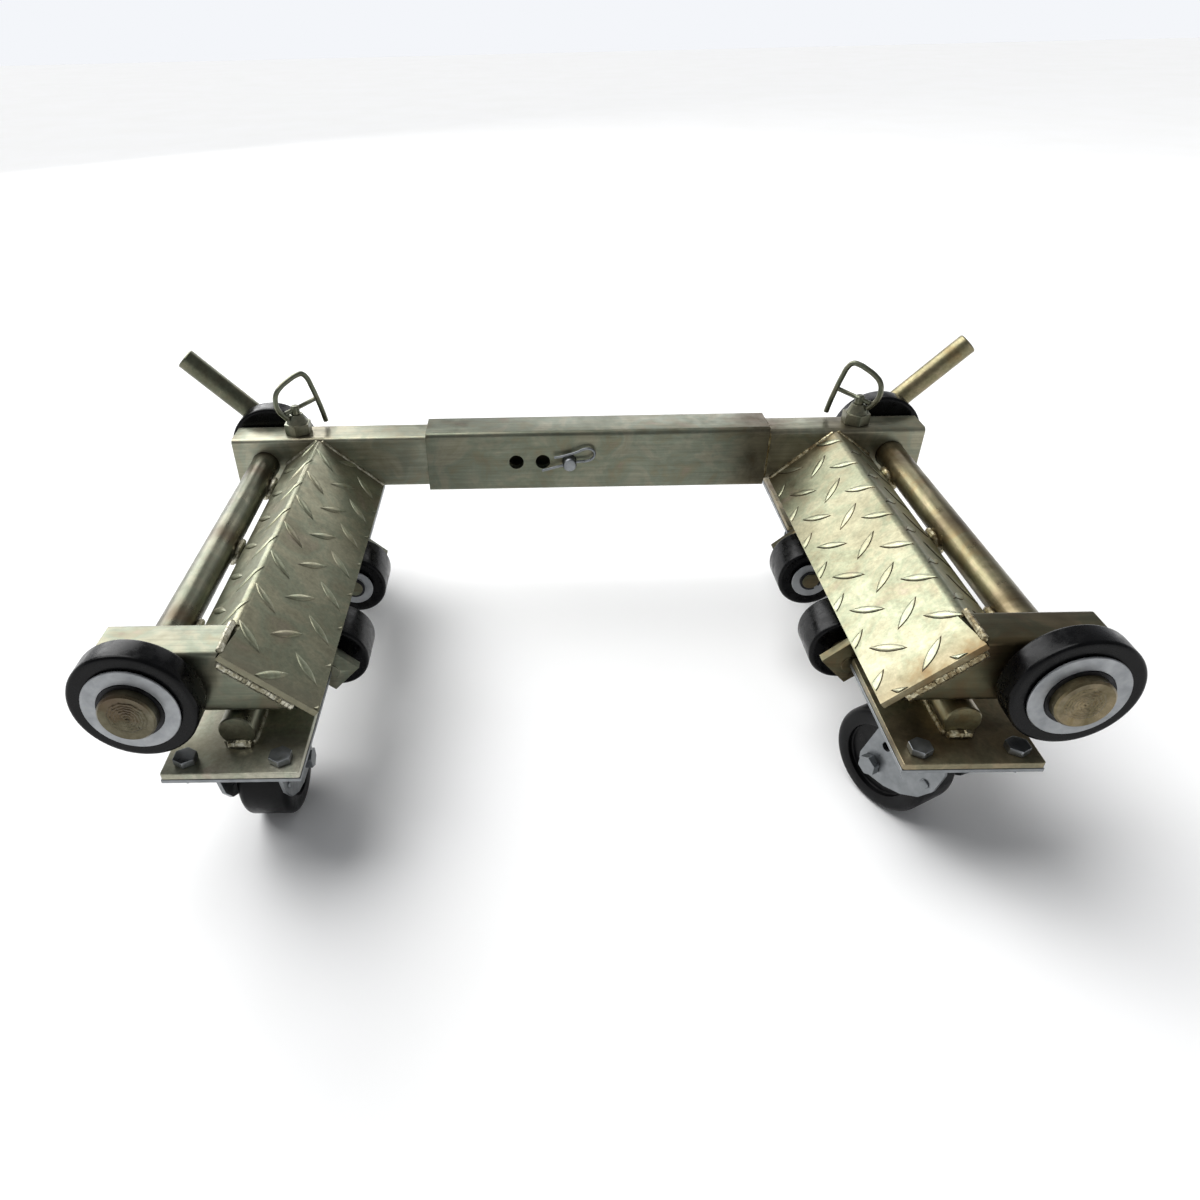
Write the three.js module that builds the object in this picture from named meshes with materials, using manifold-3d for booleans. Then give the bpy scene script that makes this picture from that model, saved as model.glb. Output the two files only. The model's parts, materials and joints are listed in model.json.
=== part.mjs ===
// Adjustable wheel dolly: telescoping crossbar, two bent-plate arms, two swinging caster carriages.
// Units are millimetres, Z is up.  Heights are measured from the top face of the crossbar and
// depths from its front face; the whole assembly is then lifted so that the wheels stand on Z = 0.
import * as THREE from 'three';
import { mergeVertices } from 'three/addons/utils/BufferGeometryUtils.js';
import Module from 'manifold-3d';

const wasm = await Module();
wasm.setup();

// ---- driving dimensions ----
const ASSEMBLY_Y = 168.5;
const ASSEMBLY_Z = 217;
const FIT_GAP = 0.4;

const TUBE_HEIGHT = 60;
const TUBE_DEPTH = 40;
const TUBE_WALL = 4;
const ARM_END = 388;
const LEFT_TUBE_INNER_END = 82;
const RIGHT_TUBE_INNER_END = 90;
const TELESCOPE_TRAVEL = 60;
const BLOCK_FRONT = -393.4;
const BLOCK_BACK = -353.4;

const SLEEVE_LEFT = -168.8;
const SLEEVE_RIGHT = 214.2;
const SLEEVE_WALL = 4.6;
const PIN_HOLES_X = [-68, -38, -8];
const PIN_HOLE_RADIUS = 8.2;
const PIN_RADIUS = 7.6;
const PIN_X = -8;
const BAR_MIDDLE_Z = -30;
const CLIP_TILT = 0.25;
const CLIP_WIRE_RADIUS = 1.5;
const CLIP_Y = -11;

const RIDGE = [288.5, 0];
const INNER_EDGE = [222, -58];
const OUTER_EDGE = [331, -31];
const PLATE_THICKNESS = 6;
const RAMP_FRONT = -397;

const PIVOT = [354, -30];
const ROD_RADIUS = 15;
const ROD_HOLE_RADIUS = 15.6;
const JOURNAL_RADIUS = 22;
const JOURNAL_FRONT = -434;
const JOURNAL_REAR = 97;
const BIG_ROLLER_RADIUS = 49;
const BIG_ROLLER_WIDTH = 24;
const BIG_ROLLER_FRONT_Y = -422;
const BIG_ROLLER_REAR_Y = 42.5;
const LEVER_RADIUS = 12;
const LEVER_LENGTH = 136;
const LEVER_Y = 84.5;

const LOWER_BAR = [290, -75.5];
const LOWER_BAR_RADIUS = 15;
const LOWER_BAR_FRONT = -400;
const LOWER_BAR_REAR = 47;
const LUG_RADIUS = 11;
const LUG_Y = [-42, -178, -314];
const CARRIER_TOP = -90;
const CARRIER_THICKNESS = 6;
const CARRIER_X = 291;
const CARRIER_WIDTH = 110;
const CARRIER_LENGTH = 135;
const CARRIER_FRONT_Y = -364.5;
const CARRIER_REAR_Y = 11.5;
const BOLT_PITCH_X = 76;
const BOLT_PITCH_Y = 105;
const BOLT_RADIUS = 5;

const MID_ROLLER = [238, -101];
const MID_ROLLER_RADIUS = 32;
const MID_ROLLER_WIDTH = 45;
const MID_ROLLER_Y = [-271.5, -148];
const STUB_RADIUS = 8.5;
const BRACKET_Y = [-292, -92];
const BRACKET_THICKNESS = 9;

const PLUNGER = [315, 20.5];
const PLUNGER_RADIUS = 5;
const PLUNGER_TIP = -78;
const PULL_TURN = 0.61;
const PULL_WIRE_RADIUS = 2.5;

const CASTER_TRAIL = 29;
const CASTER_AXLE_Z = -71;
const CASTER_WHEEL_RADIUS = 50;
const CASTER_WHEEL_WIDTH = 44;
const FORK_INSIDE = 24.5;
const FORK_THICKNESS = 3.5;
const FORK_AXLE_RADIUS = 6;
const CASTER_TURN = {
  right_front: 118,
  right_rear: 70,
  left_front: 90,
  left_rear: 110,
};

// ---- finishes ----
const finish = (color, roughness, metalness) => ({ color, roughness, metalness });
const YELLOW_ZINC = finish(0x9a9468, 0.42, 0.85);
const BRIGHT_ZINC = finish(0xb9bdc1, 0.32, 0.9);
const WASHER_ZINC = finish(0xc4c6c8, 0.45, 0.6);
const BLACK_RUBBER = finish(0x15151a, 0.5, 0);
const BLACK_SPRING_STEEL = finish(0x2a2a2c, 0.45, 0.7);

// ---- solid helpers ----
function solid(geometry) {
  const bare = new THREE.BufferGeometry();
  bare.setAttribute('position', geometry.getAttribute('position').clone());
  if (geometry.index) {
    bare.setIndex(geometry.index.clone());
  }
  const merged = mergeVertices(bare, 1e-4);
  const index = merged.index.array;
  const kept = [];
  for (let i = 0; i < index.length; i += 3) {
    const [a, b, c] = [index[i], index[i + 1], index[i + 2]];
    if (a !== b && b !== c && c !== a) {
      kept.push(a, b, c);
    }
  }
  const points = merged.getAttribute('position').array;
  if (signedVolume(points, kept) < 0) {
    for (let i = 0; i < kept.length; i += 3) {
      [kept[i + 1], kept[i + 2]] = [kept[i + 2], kept[i + 1]];
    }
  }
  const mesh = new wasm.Mesh({
    numProp: 3,
    vertProperties: new Float32Array(points),
    triVerts: new Uint32Array(kept),
  });
  return new wasm.Manifold(mesh);
}

function signedVolume(points, index) {
  let total = 0;
  for (let i = 0; i < index.length; i += 3) {
    const [a, b, c] = [index[i] * 3, index[i + 1] * 3, index[i + 2] * 3];
    total += points[a] * (points[b + 1] * points[c + 2] - points[b + 2] * points[c + 1]);
    total += points[a + 1] * (points[b + 2] * points[c] - points[b] * points[c + 2]);
    total += points[a + 2] * (points[b] * points[c + 1] - points[b + 1] * points[c]);
  }
  return total;
}

function toGeometry(shape, mirrored) {
  const mesh = shape.getMesh();
  const points = new Float32Array(mesh.vertProperties);
  const index = Array.from(mesh.triVerts);
  if (mirrored) {
    for (let i = 0; i < points.length; i += 3) {
      points[i] = -points[i];
    }
    for (let i = 0; i < index.length; i += 3) {
      [index[i + 1], index[i + 2]] = [index[i + 2], index[i + 1]];
    }
  }
  const geometry = new THREE.BufferGeometry();
  geometry.setAttribute('position', new THREE.BufferAttribute(points, 3));
  geometry.setIndex(index);
  geometry.computeVertexNormals();
  return geometry;
}

function makeMesh(name, shape, look, mirrored = false) {
  const mesh = new THREE.Mesh(toGeometry(shape, mirrored), new THREE.MeshStandardMaterial(look));
  mesh.name = name;
  return mesh;
}

function box(x0, x1, y0, y1, z0, z1) {
  const geometry = new THREE.BoxGeometry(x1 - x0, y1 - y0, z1 - z0);
  geometry.translate((x0 + x1) / 2, (y0 + y1) / 2, (z0 + z1) / 2);
  return solid(geometry);
}

// Solid of revolution about a line parallel to Y; the profile holds [radius, y] pairs.
function turnedY(profile, x, z, segments) {
  const points = profile.map(([radius, y]) => new THREE.Vector2(radius, y));
  const geometry = new THREE.LatheGeometry(points, segments);
  geometry.translate(x, 0, z);
  return solid(geometry);
}

function cylinderY(radius, y0, y1, x, z, segments = 24) {
  return turnedY([[0, y0], [radius, y0], [radius, y1], [0, y1]], x, z, segments);
}

// Solid of revolution about a vertical line; the profile holds [radius, z] pairs.
function turnedZ(profile, x, y, segments) {
  const points = profile.map(([radius, z]) => new THREE.Vector2(radius, z));
  const geometry = new THREE.LatheGeometry(points, segments);
  geometry.rotateX(Math.PI / 2);
  geometry.translate(x, y, 0);
  return solid(geometry);
}

function cylinderZ(radius, z0, z1, x, y, segments = 12) {
  return turnedZ([[0, z0], [radius, z0], [radius, z1], [0, z1]], x, y, segments);
}

// Cylinder between two points.
function rodBetween(start, end, radius, segments = 16) {
  const from = new THREE.Vector3(...start);
  const to = new THREE.Vector3(...end);
  const length = from.distanceTo(to);
  const geometry = new THREE.CylinderGeometry(radius, radius, length, segments);
  const turn = new THREE.Quaternion().setFromUnitVectors(
    new THREE.Vector3(0, 1, 0),
    to.clone().sub(from).normalize(),
  );
  geometry.applyQuaternion(turn);
  const middle = from.clone().add(to).multiplyScalar(0.5);
  geometry.translate(middle.x, middle.y, middle.z);
  return solid(geometry);
}

// Polygon of [x, z] corners extruded along Y from y0 to y1.
function extrudedY(corners, y0, y1, holes = []) {
  const shape = new THREE.Shape(corners.map(([x, z]) => new THREE.Vector2(x, z)));
  for (const hole of holes) {
    const path = new THREE.Path();
    path.absarc(hole.x, hole.z, hole.radius, 0, 2 * Math.PI);
    shape.holes.push(path);
  }
  const geometry = new THREE.ExtrudeGeometry(shape, {
    depth: y1 - y0,
    bevelEnabled: false,
    curveSegments: 5,
  });
  geometry.rotateX(Math.PI / 2);
  geometry.translate(0, y1, 0);
  return solid(geometry);
}

// Round wire along a smooth open curve.
function wire(points, radius, steps) {
  const knots = points.map((p) => new THREE.Vector3(...p));
  const curve = new THREE.CatmullRomCurve3(knots, false, 'centripetal');
  const shape = new THREE.Shape();
  shape.absarc(0, 0, radius, 0, 2 * Math.PI);
  const geometry = new THREE.ExtrudeGeometry(shape, {
    steps,
    extrudePath: curve,
    curveSegments: 2,
    bevelEnabled: false,
  });
  return solid(geometry);
}

function hexagonZ(acrossFlats, z0, z1, x, y) {
  return cylinderZ(acrossFlats / Math.sqrt(3), z0, z1, x, y, 6);
}

// Rectangle with rounded corners in a plane facing along X, extruded from x0 to x1.
function roundedBarX(x0, x1, y0, y1, z0, z1, corner) {
  const shape = new THREE.Shape();
  shape.absarc(y1 - corner, z1 - corner, corner, 0, Math.PI / 2);
  shape.absarc(y0 + corner, z1 - corner, corner, Math.PI / 2, Math.PI);
  shape.absarc(y0 + corner, z0 + corner, corner, Math.PI, 1.5 * Math.PI);
  shape.absarc(y1 - corner, z0 + corner, corner, 1.5 * Math.PI, 2 * Math.PI);
  const geometry = new THREE.ExtrudeGeometry(shape, {
    depth: x1 - x0,
    bevelEnabled: false,
    curveSegments: 3,
  });
  geometry.rotateZ(Math.PI / 2);
  geometry.rotateY(Math.PI / 2);
  geometry.translate(x0, 0, 0);
  return solid(geometry);
}

// ---- crossbar ----
function crossTube(innerEnd, slotted) {
  const outside = roundedBarX(innerEnd, ARM_END, 0, TUBE_DEPTH, -TUBE_HEIGHT, 0, 5);
  const inside = roundedBarX(
    innerEnd - 1,
    ARM_END - TUBE_WALL,
    TUBE_WALL,
    TUBE_DEPTH - TUBE_WALL,
    TUBE_WALL - TUBE_HEIGHT,
    -TUBE_WALL,
    2,
  );
  let tube = outside.subtract(inside);
  tube = tube.subtract(cylinderY(ROD_HOLE_RADIUS, -1, TUBE_DEPTH + 1, PIVOT[0], PIVOT[1]));
  tube = tube.subtract(cylinderZ(PLUNGER_RADIUS + 0.8, -61, 1, PLUNGER[0], PLUNGER[1]));
  if (slotted) {
    for (const x of PIN_HOLES_X) {
      tube = tube.subtract(cylinderY(PIN_HOLE_RADIUS, -1, TUBE_WALL + 1, -x, BAR_MIDDLE_Z));
    }
    const nearEnd = -PIN_X;
    const farEnd = nearEnd - TELESCOPE_TRAVEL;
    for (const x of [nearEnd, farEnd]) {
      tube = tube.subtract(cylinderY(PIN_HOLE_RADIUS, -1, TUBE_DEPTH + 1, x, BAR_MIDDLE_Z));
    }
    tube = tube.subtract(box(
      farEnd,
      nearEnd,
      -1,
      TUBE_DEPTH + 1,
      BAR_MIDDLE_Z - PIN_HOLE_RADIUS,
      BAR_MIDDLE_Z + PIN_HOLE_RADIUS,
    ));
  }
  return tube;
}

function sleeve() {
  const outer = SLEEVE_WALL + FIT_GAP;
  const outside = roundedBarX(
    SLEEVE_LEFT,
    SLEEVE_RIGHT,
    -outer,
    TUBE_DEPTH + outer,
    -TUBE_HEIGHT - outer,
    outer,
    6,
  );
  const inside = roundedBarX(
    SLEEVE_LEFT - 1,
    SLEEVE_RIGHT + 1,
    -FIT_GAP,
    TUBE_DEPTH + FIT_GAP,
    -TUBE_HEIGHT - FIT_GAP,
    FIT_GAP,
    3,
  );
  let tube = outside.subtract(inside);
  for (const x of PIN_HOLES_X) {
    tube = tube.subtract(cylinderY(PIN_HOLE_RADIUS, -10, TUBE_DEPTH + 10, x, BAR_MIDDLE_Z));
  }
  return tube;
}

// Points of the clip are given along its own length (t) and across it (n).
function clipPoint(t, n) {
  const [c, s] = [Math.cos(CLIP_TILT), Math.sin(CLIP_TILT)];
  return [PIN_X + t * c - n * s, CLIP_Y, BAR_MIDDLE_Z + t * s + n * c];
}

function lockPin() {
  const profile = [[0, -17], [6.2, -17], [PIN_RADIUS, -15.4], [PIN_RADIUS, 46.5], [13, 46.5],
    [13, 53], [11.5, 54.5], [0, 54.5]];
  const pin = turnedY(profile, PIN_X, BAR_MIDDLE_Z, 20);
  return pin.subtract(rodBetween(clipPoint(-15, 0), clipPoint(15, 0), CLIP_WIRE_RADIUS + 0.5, 12));
}

function pinClip() {
  const path = [[-32, 0], [-20, 0], [-8, 0], [4, 0], [12, -0.6], [20, -2], [27, 0], [30, 5.2],
    [27, 10.5], [20, 12.6], [12, 11.3], [4, 10.8], [-8, 10.8], [-15, 11.6]];
  return wire(path.map(([t, n]) => clipPoint(t, n)), CLIP_WIRE_RADIUS, 30);
}

// ---- arms ----
// Offsets a line running from a to b by a distance on its right-hand side.
function offsetPoint(point, a, b, distance) {
  const length = Math.hypot(b[0] - a[0], b[1] - a[1]);
  const normal = [(b[1] - a[1]) / length, -(b[0] - a[0]) / length];
  return [point[0] + normal[0] * distance, point[1] + normal[1] * distance];
}

function ramp() {
  const innerUnder = offsetPoint(INNER_EDGE, INNER_EDGE, RIDGE, PLATE_THICKNESS);
  const ridgeUnder = offsetPoint(RIDGE, INNER_EDGE, RIDGE, PLATE_THICKNESS);
  const outerUnder = offsetPoint(OUTER_EDGE, RIDGE, OUTER_EDGE, PLATE_THICKNESS);
  const ridgeUnderOuter = offsetPoint(RIDGE, RIDGE, OUTER_EDGE, PLATE_THICKNESS);
  const innerSlope = extrudedY([INNER_EDGE, innerUnder, ridgeUnder, RIDGE], RAMP_FRONT, -FIT_GAP);
  const bend = [RIDGE, INNER_EDGE, innerUnder, [RIDGE[0], RIDGE[1] - 7.9], outerUnder, OUTER_EDGE];
  const full = extrudedY(bend, BLOCK_BACK + FIT_GAP, -FIT_GAP);
  const trimmed = extrudedY(
    [RIDGE, ridgeUnderOuter, outerUnder, OUTER_EDGE],
    BLOCK_BACK + FIT_GAP,
    -FIT_GAP,
  );
  return innerSlope.add(full).add(trimmed);
}

function endBlock() {
  const corners = [[ARM_END, 0], [ARM_END, -TUBE_HEIGHT], [240, -TUBE_HEIGHT], [293.2, -4.8],
    [289.6, 0]];
  const profile = extrudedY(corners, BLOCK_FRONT - 1, BLOCK_BACK + 1);
  const outside = roundedBarX(230, ARM_END, BLOCK_FRONT, BLOCK_BACK, -TUBE_HEIGHT, 0, 5);
  const inside = roundedBarX(
    220,
    ARM_END - TUBE_WALL,
    BLOCK_FRONT + TUBE_WALL,
    BLOCK_BACK - TUBE_WALL,
    TUBE_WALL - TUBE_HEIGHT,
    -TUBE_WALL,
    2,
  );
  const hole = cylinderY(ROD_HOLE_RADIUS, BLOCK_FRONT - 1, BLOCK_BACK + 1, PIVOT[0], PIVOT[1]);
  return outside.intersect(profile).subtract(inside).subtract(hole);
}

// Flat bar under the ramp carrying a stub shaft for one small roller.
function rollerBracket(index) {
  const y0 = BRACKET_Y[index];
  const slope = new THREE.Vector2(RIDGE[0] - INNER_EDGE[0], RIDGE[1] - INNER_EDGE[1]).normalize();
  const across = new THREE.Vector2(-slope.y, slope.x);
  const corner = (s, n) => [
    MID_ROLLER[0] + slope.x * s + across.x * n,
    MID_ROLLER[1] + slope.y * s + across.y * n,
  ];
  const outline = [[-17.5, 20.7], [-15.5, -14.5], [30, -15.5], [36, 36.5], [17, 36.5], [17, 20.9]];
  const corners = outline.map(([s, n]) => corner(s, n));
  const flat = extrudedY(corners, y0, y0 + BRACKET_THICKNESS);
  const rollerStart = MID_ROLLER_Y[index];
  const rollerEnd = rollerStart + MID_ROLLER_WIDTH;
  if (index === 0) {
    const stub = cylinderY(STUB_RADIUS, y0 - 1.5, rollerEnd + 5, MID_ROLLER[0], MID_ROLLER[1]);
    const collar = cylinderY(14, y0 + 4, rollerStart - 0.6, MID_ROLLER[0], MID_ROLLER[1]);
    return flat.add(stub).add(collar);
  }
  const stub = cylinderY(
    STUB_RADIUS,
    rollerStart - 5,
    y0 + BRACKET_THICKNESS + 1.5,
    MID_ROLLER[0],
    MID_ROLLER[1],
  );
  const collar = cylinderY(14, rollerEnd + 0.6, y0 + 4, MID_ROLLER[0], MID_ROLLER[1]);
  return flat.add(stub).add(collar);
}

function rollerProfile(bore, radius, y0, width) {
  const y1 = y0 + width;
  return [[bore, y0], [radius - 2.5, y0], [radius, y0 + 2.5], [radius, y1 - 2.5],
    [radius - 2.5, y1], [bore, y1], [bore, y0]];
}

function midRoller(index) {
  const profile = rollerProfile(STUB_RADIUS + 0.5, MID_ROLLER_RADIUS, MID_ROLLER_Y[index],
    MID_ROLLER_WIDTH);
  return turnedY(profile, MID_ROLLER[0], MID_ROLLER[1], 28);
}

// ---- release plunger ----
// The pin ends inside the sweep of the lower bar, so the carriage can swing at any lift.
// Points of the pull handle are given along its own length (u) and height (z).
function pullPoint(u, z) {
  return [PLUNGER[0] - u * Math.cos(PULL_TURN), PLUNGER[1] + u * Math.sin(PULL_TURN), z];
}

function plungerBody() {
  const base = hexagonZ(27, 0.3, 12, PLUNGER[0], PLUNGER[1]);
  const neck = turnedZ([[0, 11], [12.5, 11], [9, 18], [7.5, 22], [0, 22]], PLUNGER[0], PLUNGER[1], 16);
  const bore = cylinderZ(PLUNGER_RADIUS + 0.5, -1, 23, PLUNGER[0], PLUNGER[1]);
  return base.add(neck).subtract(bore);
}

function plungerPin() {
  const shank = turnedZ(
    [[0, PLUNGER_TIP], [3.6, PLUNGER_TIP], [PLUNGER_RADIUS, PLUNGER_TIP + 1.6],
      [PLUNGER_RADIUS, 30], [3.5, 31.5], [0, 31.5]],
    PLUNGER[0],
    PLUNGER[1],
    12,
  );
  return shank.add(rodBetween(pullPoint(-12, 24.5), pullPoint(25, 33.5), PULL_WIRE_RADIUS, 8));
}

function pullRing() {
  const path = [[33, 7], [30, 20], [27, 33], [22, 47], [16, 60], [10, 66], [1, 64.5], [-9, 59],
    [-17, 51], [-20, 42], [-19, 33], [-14, 25]];
  const ring = wire(path.map(([u, z]) => pullPoint(u, z)), PULL_WIRE_RADIUS, 30);
  const crossBar = rodBetween(
    pullPoint(-12.4, 24.4),
    pullPoint(25.4, 33.6),
    PULL_WIRE_RADIUS + FIT_GAP,
    8,
  );
  return ring.subtract(crossBar);
}

// ---- swinging carriage ----
function pivotRod() {
  const profile = [[0, JOURNAL_FRONT], [JOURNAL_RADIUS - 1.5, JOURNAL_FRONT],
    [JOURNAL_RADIUS, JOURNAL_FRONT + 1.5], [JOURNAL_RADIUS, BLOCK_FRONT - 0.6],
    [ROD_RADIUS, BLOCK_FRONT - 0.6], [ROD_RADIUS, TUBE_DEPTH + 0.6],
    [JOURNAL_RADIUS, TUBE_DEPTH + 0.6], [JOURNAL_RADIUS, JOURNAL_REAR - 1.5],
    [JOURNAL_RADIUS - 1.5, JOURNAL_REAR], [0, JOURNAL_REAR]];
  return turnedY(profile, PIVOT[0], PIVOT[1], 24);
}

function leverStub() {
  const step = LEVER_LENGTH / Math.SQRT2;
  const bar = rodBetween(
    [PIVOT[0] + 10, LEVER_Y, PIVOT[1] + 10],
    [PIVOT[0] + step, LEVER_Y, PIVOT[1] + step],
    LEVER_RADIUS,
    24,
  );
  return bar.subtract(cylinderY(JOURNAL_RADIUS + FIT_GAP, 60, 110, PIVOT[0], PIVOT[1]));
}

function swingFrame() {
  let frame = cylinderY(
    LOWER_BAR_RADIUS,
    LOWER_BAR_FRONT,
    LOWER_BAR_REAR,
    LOWER_BAR[0],
    LOWER_BAR[1],
    20,
  );
  for (const y of LUG_Y) {
    frame = frame.add(rodBetween([352, y, -38], [LOWER_BAR[0], y, LOWER_BAR[1]], LUG_RADIUS, 14));
  }
  for (const y of [CARRIER_FRONT_Y, CARRIER_REAR_Y]) {
    frame = frame.add(box(
      CARRIER_X - CARRIER_WIDTH / 2,
      CARRIER_X + CARRIER_WIDTH / 2,
      y - CARRIER_LENGTH / 2,
      y + CARRIER_LENGTH / 2,
      CARRIER_TOP - CARRIER_THICKNESS,
      CARRIER_TOP,
    ));
    for (const [x, boltY] of boltPlaces(CARRIER_X, y)) {
      frame = frame.subtract(cylinderZ(BOLT_RADIUS + 0.5, -97, -89, x, boltY, 10));
    }
  }
  const rodClearance = cylinderY(ROD_RADIUS + FIT_GAP, -390, 60, PIVOT[0], PIVOT[1]);
  return frame.subtract(rodClearance);
}

function boltPlaces(x, y) {
  const places = [];
  for (const sx of [-1, 1]) {
    for (const sy of [-1, 1]) {
      places.push([x + sx * BOLT_PITCH_X / 2, y + sy * BOLT_PITCH_Y / 2]);
    }
  }
  return places;
}

function bigRoller(y0) {
  const profile = rollerProfile(JOURNAL_RADIUS + 0.5, BIG_ROLLER_RADIUS, y0, BIG_ROLLER_WIDTH);
  return turnedY(profile, PIVOT[0], PIVOT[1], 36);
}

function rollerWasher(y0) {
  const profile = [[25.5, y0], [37, y0], [37, y0 + 2.2], [25.5, y0 + 2.2], [25.5, y0]];
  return turnedY(profile, PIVOT[0], PIVOT[1], 28);
}

function circlip(y0) {
  const profile = [[22.3, y0], [25.1, y0], [25.1, y0 + 1.6], [22.3, y0 + 1.6], [22.3, y0]];
  const ring = turnedY(profile, PIVOT[0], PIVOT[1], 24);
  const gap = box(PIVOT[0] - 30, PIVOT[0], y0 - 1, y0 + 3, PIVOT[1] - 1, PIVOT[1] + 4);
  return ring.subtract(gap);
}

// ---- casters: origin on the swivel axis, level with the underside of the carrier plate ----
function casterPlate() {
  let plate = box(
    -CARRIER_WIDTH / 2 - 0.5,
    CARRIER_WIDTH / 2 + 0.5,
    -CARRIER_LENGTH / 2,
    CARRIER_LENGTH / 2,
    -3.8,
    -0.3,
  );
  plate = plate.add(turnedZ([[0, -3], [27, -3], [27, -7], [24, -9], [0, -9]], 0, 0, 20));
  plate = plate.add(cylinderZ(6, -20, -8, 0, 0));
  plate = plate.add(hexagonZ(17, -20, -14.2, 0, 0));
  for (const [x, y] of boltPlaces(0, 0)) {
    plate = plate.add(cylinderZ(BOLT_RADIUS, -12, 7, x, y, 10));
    plate = plate.add(hexagonZ(17, 6.4, 12.4, x, y));
    plate = plate.add(hexagonZ(17, -10, -3, x, y));
  }
  return plate;
}

function casterFork() {
  const [axleX, axleZ] = [CASTER_TRAIL, CASTER_AXLE_Z];
  const corners = [[-34, -9.4], [-38, -30], [-33, -52], [-22, -68], [-6, -79], [12, -85]];
  for (let step = 0; step <= 4; step += 1) {
    const angle = -Math.PI / 2 + step * 0.42;
    corners.push([axleX + 15 * Math.cos(angle), axleZ + 15 * Math.sin(angle)]);
  }
  corners.push([26, -9.4]);
  const holes = [
    { x: axleX, z: axleZ, radius: FORK_AXLE_RADIUS + 0.5 },
    { x: 20, z: -44, radius: 4.5 },
  ];
  const outside = FORK_INSIDE + FORK_THICKNESS;
  let fork = extrudedY(corners, FORK_INSIDE, outside, holes);
  fork = fork.add(extrudedY(corners, -outside, -FORK_INSIDE, holes));
  fork = fork.add(box(-34, 26, -outside, outside, -13.4, -9.4));
  fork = fork.add(turnedZ([[0, -9.4], [27, -9.4], [27, -13.4], [0, -13.4]], 0, 0, 20));
  return fork.subtract(cylinderZ(6.6, -14, -9, 0, 0));
}

function casterAxle() {
  const outside = FORK_INSIDE + FORK_THICKNESS;
  const shank = cylinderY(FORK_AXLE_RADIUS, -outside - 3, outside + 3, CASTER_TRAIL, CASTER_AXLE_Z, 12);
  const head = (y0, y1) => cylinderY(9.8, y0, y1, CASTER_TRAIL, CASTER_AXLE_Z, 6);
  return shank.add(head(-outside - 7.5, -outside - 0.4)).add(head(outside + 0.4, outside + 7.5));
}

function casterWheel() {
  const half = CASTER_WHEEL_WIDTH / 2;
  const web = half - 5;
  const hub = FORK_INSIDE - 0.6;
  const profile = [[6.6, -hub], [13, -hub], [14, -web], [34, -web], [34, -half], [46, -half],
    [CASTER_WHEEL_RADIUS, -half + 6], [CASTER_WHEEL_RADIUS, half - 6], [46, half], [34, half],
    [34, web], [14, web], [13, hub], [6.6, hub], [6.6, -hub]];
  return turnedY(profile, CASTER_TRAIL, CASTER_AXLE_Z, 28);
}

// ---- assembly ----
const assembly = new THREE.Group();
assembly.position.set(0, ASSEMBLY_Y, ASSEMBLY_Z);

assembly.add(makeMesh('sleeve', sleeve(), YELLOW_ZINC));
assembly.add(makeMesh('lock_pin', lockPin(), BRIGHT_ZINC));
assembly.add(makeMesh('pin_clip', pinClip(), BRIGHT_ZINC));

const shared = {
  ramp: ramp(),
  block: endBlock(),
  frontBracket: rollerBracket(0),
  rearBracket: rollerBracket(1),
  frontMidRoller: midRoller(0),
  rearMidRoller: midRoller(1),
  plungerBody: plungerBody(),
  plungerPin: plungerPin(),
  pullRing: pullRing(),
  pivotRod: pivotRod(),
  lever: leverStub(),
  swingFrame: swingFrame(),
  frontRoller: bigRoller(BIG_ROLLER_FRONT_Y),
  rearRoller: bigRoller(BIG_ROLLER_REAR_Y),
  frontWasher: rollerWasher(BIG_ROLLER_FRONT_Y - 2.7),
  rearWasher: rollerWasher(BIG_ROLLER_REAR_Y + BIG_ROLLER_WIDTH + 0.5),
  frontCirclip: circlip(BIG_ROLLER_FRONT_Y - 3.6),
  rearCirclip: circlip(BIG_ROLLER_REAR_Y + BIG_ROLLER_WIDTH + 2),
  casterPlate: casterPlate(),
  casterFork: casterFork(),
  casterAxle: casterAxle(),
  casterWheel: casterWheel(),
};

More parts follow.
